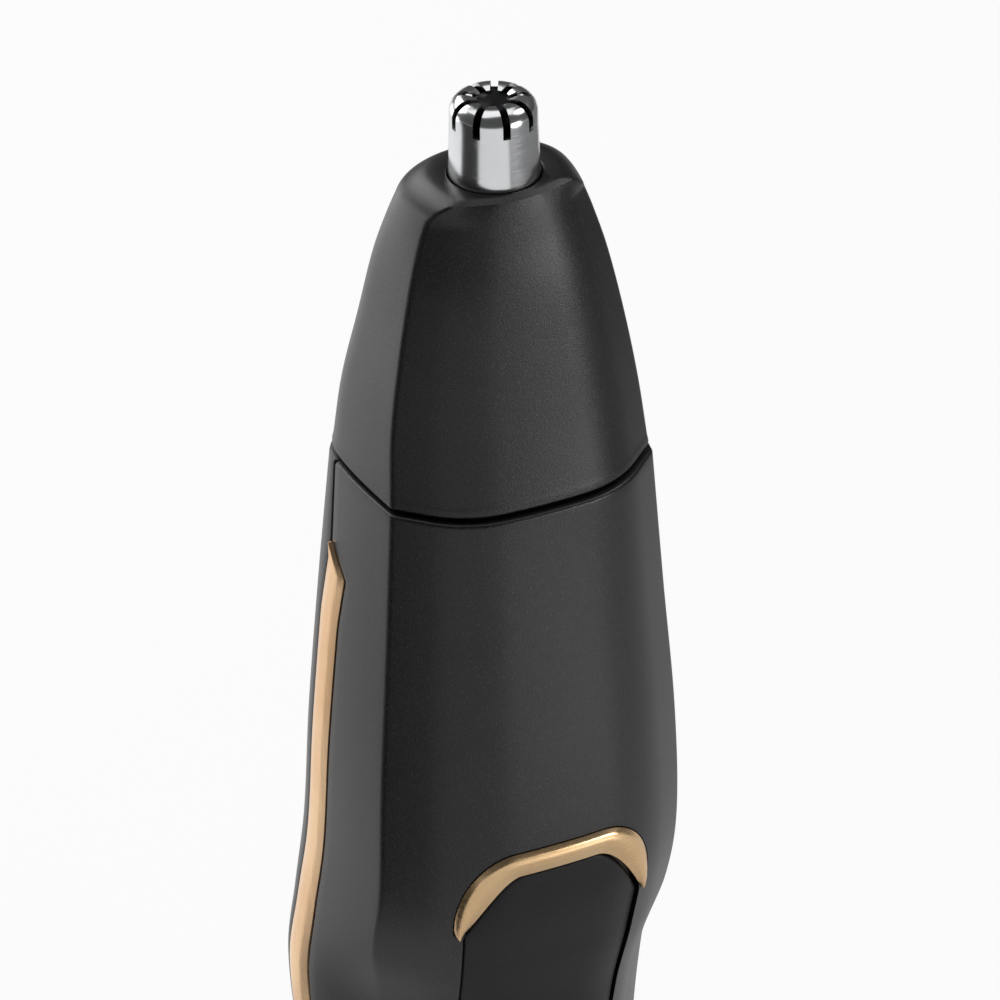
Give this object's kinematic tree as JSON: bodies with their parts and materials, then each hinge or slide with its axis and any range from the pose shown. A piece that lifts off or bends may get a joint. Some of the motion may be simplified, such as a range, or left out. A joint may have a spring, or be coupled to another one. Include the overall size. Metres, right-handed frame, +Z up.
{
  "type": "nose hair trimmer",
  "caption": "Cordless nose hair trimmer: faceted pull-off head with a slotted steel rotary cutter on a curved handle with side trims, a bow trim and a thumb panel.",
  "frame": {"origin": "on the flat face of the base, where the cutter's axis meets it", "axes": "+Z up along the cutter's axis, -Y towards the front with the thumb panel and the bow, +X to the device's right as seen by someone who looks along +Y"},
  "size_m": [0.042, 0.0338, 0.1585],
  "materials": {
    "soft_black": "fine-grained soft-touch charcoal",
    "panel_black": "satin charcoal",
    "inner_black": "plain moulded",
    "polished_steel": "polished stainless steel",
    "steel": "plain steel",
    "magnet": "ferrite",
    "bush_brass": "turned",
    "copper_gold": "metallised copper gold",
    "pale_gold": "metallised gold",
    "seal_rubber": "plain",
    "cell_wrap": "shrink wrap",
    "board_green": "solder mask",
    "led_white": "plain",
    "light_lens": "milky light guide",
    "lead_red": "wire sleeve"
  },
  "bodies": {
    "handle": {"front_shell": "soft_black", "rear_shell": "soft_black", "left_trim": "copper_gold", "right_trim": "copper_gold", "bow_trim": "pale_gold", "thumb_panel": "panel_black", "neck_plate": "inner_black", "neck_seal": "seal_rubber", "latch_springs": "steel", "neck_screws": "steel", "chassis": "inner_black", "motor_can": "steel", "motor_magnets": "magnet", "motor_cap": "inner_black", "motor_brushes": "bush_brass", "motor_terminals": "bush_brass", "battery_cell": "cell_wrap", "battery_tabs": "steel", "circuit_board": "board_green", "board_switch": "steel", "control_chip": "inner_black", "status_led": "led_white", "status_light": "light_lens", "motor_leads": "lead_red", "charge_socket": "inner_black", "base_cap": "soft_black", "base_screws": "steel"},
    "head": {"head_shell": "soft_black", "cutter_cap": "polished_steel", "cap_retainer": "inner_black", "upper_bush": "bush_brass", "head_base": "inner_black", "lower_bush": "bush_brass", "thrust_washer": "steel"},
    "cutter": {"inner_cutter": "steel", "cutter_spindle": "steel", "cutter_spring": "steel", "crank_coupling": "inner_black"},
    "rotor": {"motor_shaft": "steel", "armature": "steel", "commutator": "bush_brass", "drive_cam": "steel"},
    "switch": {"slide_switch": "panel_black", "switch_carriage": "inner_black"}
  },
  "joints": [
    {"name": "head_pull", "type": "slide", "parent": "handle", "child": "head", "axis": [0, 0, 1], "range_m": [0, 0.016]},
    {"name": "cutter_spin", "type": "hinge", "parent": "head", "child": "cutter", "pos_m": [0, 0, 0.14], "axis": [0, 0, 1], "continuous": true},
    {"name": "motor_spin", "type": "hinge", "parent": "handle", "child": "rotor", "pos_m": [0, 0, 0.09], "axis": [0, 0, 1], "continuous": true},
    {"name": "switch_slide", "type": "slide", "parent": "handle", "child": "switch", "axis": [0, 0, 1], "range_m": [0, 0.004]}
  ],
  "couplings": [
    {"joint": "cutter_spin", "follows": "motor_spin", "ratio": 1}
  ]
}
